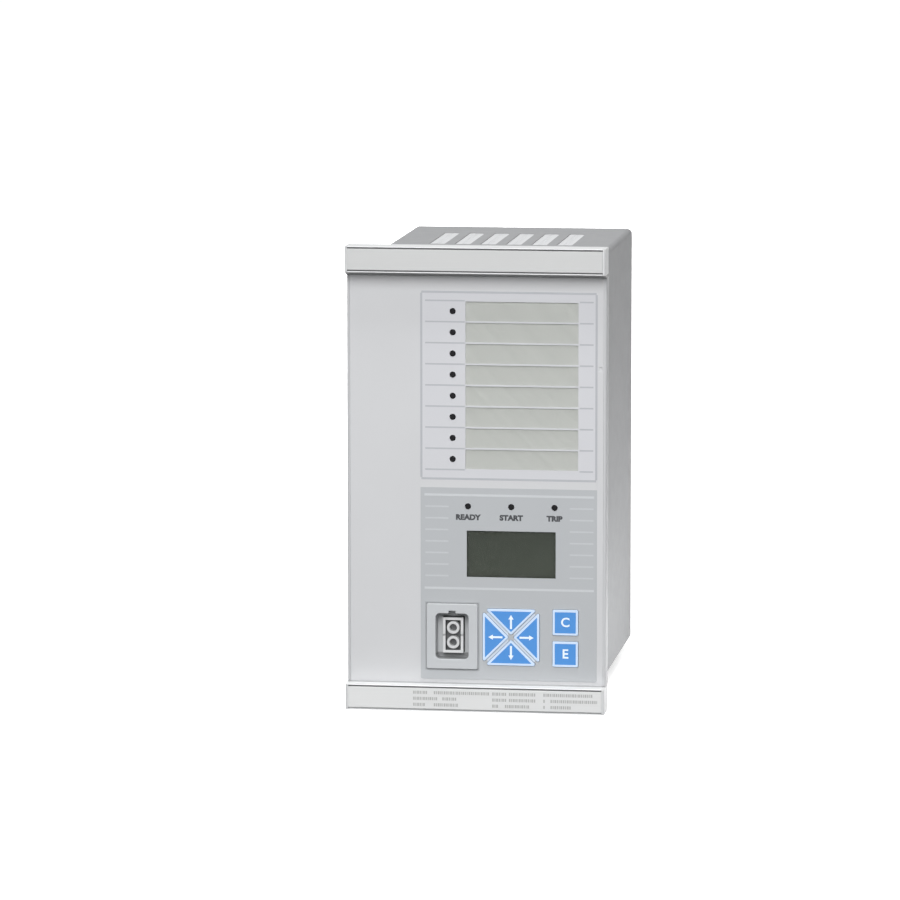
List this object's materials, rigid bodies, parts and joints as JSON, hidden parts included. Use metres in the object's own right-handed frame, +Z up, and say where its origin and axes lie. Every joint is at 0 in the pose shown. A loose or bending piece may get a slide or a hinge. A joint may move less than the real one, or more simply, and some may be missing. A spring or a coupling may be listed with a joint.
{
  "type": "protection relay",
  "caption": "Panel-mounted protection relay: steel case behind a railed front with legend windows, lamps, display, optical port and spring-return keys, and rear terminals.",
  "frame": {"origin": "on the ground under the middle of the whole part's box, at the foot of the front frame", "axes": "+Z up, front faces -Y, +X to the right seen from the front"},
  "size_m": [0.1488, 0.235, 0.2659],
  "materials": {
    "rail": "satin anodised extrusion",
    "strip": "satin strip",
    "steel": "zinc plated",
    "plate": "zinc plated sheet",
    "panel": "fine pale grey paint",
    "foil": "printed polycarbonate foil",
    "clear": "clear film",
    "legend": "plain legend sheet",
    "lamp": "dark lens",
    "display": "unlit liquid crystal cell",
    "bezel": "moulded",
    "board": "solder mask",
    "black_plastic": "moulded",
    "key": "printed foil key",
    "case": "coated steel sheet",
    "potted": "potted",
    "core": "ferrite core and taped coil",
    "capacitor": "sleeved can",
    "sink": "extruded",
    "terminal": "moulded",
    "plug": "moulded"
  },
  "bodies": {
    "relay": {"top_rail": "rail", "bottom_rail": "rail", "rail_end_caps": "rail", "top_rail_strip": "strip", "bottom_rail_strip": "strip", "rail_screws": "steel", "collar_screws": "steel", "board_spacers": "steel", "board_screws": "steel", "rear_cover_screws": "steel", "backplane_posts": "steel", "measuring_screws": "steel", "plug_screws": "steel", "serial_jack_screws": "steel", "earth_screw": "steel", "earth_washer": "steel", "port_ferrules": "steel", "carrier_plate": "plate", "vent_screens": "plate", "serial_port": "plate", "display_module": "plate", "front_panel": "panel", "overlay_foil": "foil", "legend_film": "clear", "display_window": "clear", "legend_sheet": "legend", "indicator_lamps": "lamp", "status_lamps": "lamp", "display_glass": "display", "port_bezel": "bezel", "port_receptacle": "bezel", "operator_board": "board", "backplane_board": "board", "transformer_card": "board", "power_card": "board", "processor_card": "board", "key_switches": "black_plastic", "backplane_connectors": "black_plastic", "link_connector": "black_plastic", "card_guides": "black_plastic", "processor_chips": "black_plastic", "output_relays": "black_plastic", "case_shell": "case", "case_collar": "case", "rear_cover": "case", "current_transformers": "potted", "voltage_transformers": "potted", "supply_transformer": "core", "filter_capacitors": "capacitor", "heat_sink": "sink", "measuring_terminals": "terminal", "plug_headers": "plug", "terminal_plugs": "plug"},
    "key_up": {"key_up": "key"},
    "key_left": {"key_left": "key"},
    "key_down": {"key_down": "key"},
    "key_right": {"key_right": "key"},
    "key_clear": {"key_clear": "key"},
    "key_enter": {"key_enter": "key"}
  },
  "joints": [
    {"name": "key_up_press", "type": "slide", "parent": "relay", "child": "key_up", "axis": [0, 1, 0], "range_m": [0, 0.0005], "stiffness_N_per_m": 4000, "springref_m": -0.0001},
    {"name": "key_left_press", "type": "slide", "parent": "relay", "child": "key_left", "axis": [0, 1, 0], "range_m": [0, 0.0005], "stiffness_N_per_m": 4000, "springref_m": -0.0001},
    {"name": "key_down_press", "type": "slide", "parent": "relay", "child": "key_down", "axis": [0, 1, 0], "range_m": [0, 0.0005], "stiffness_N_per_m": 4000, "springref_m": -0.0001},
    {"name": "key_right_press", "type": "slide", "parent": "relay", "child": "key_right", "axis": [0, 1, 0], "range_m": [0, 0.0005], "stiffness_N_per_m": 4000, "springref_m": -0.0001},
    {"name": "key_clear_press", "type": "slide", "parent": "relay", "child": "key_clear", "axis": [0, 1, 0], "range_m": [0, 0.0005], "stiffness_N_per_m": 4000, "springref_m": -0.0001},
    {"name": "key_enter_press", "type": "slide", "parent": "relay", "child": "key_enter", "axis": [0, 1, 0], "range_m": [0, 0.0005], "stiffness_N_per_m": 4000, "springref_m": -0.0001}
  ]
}
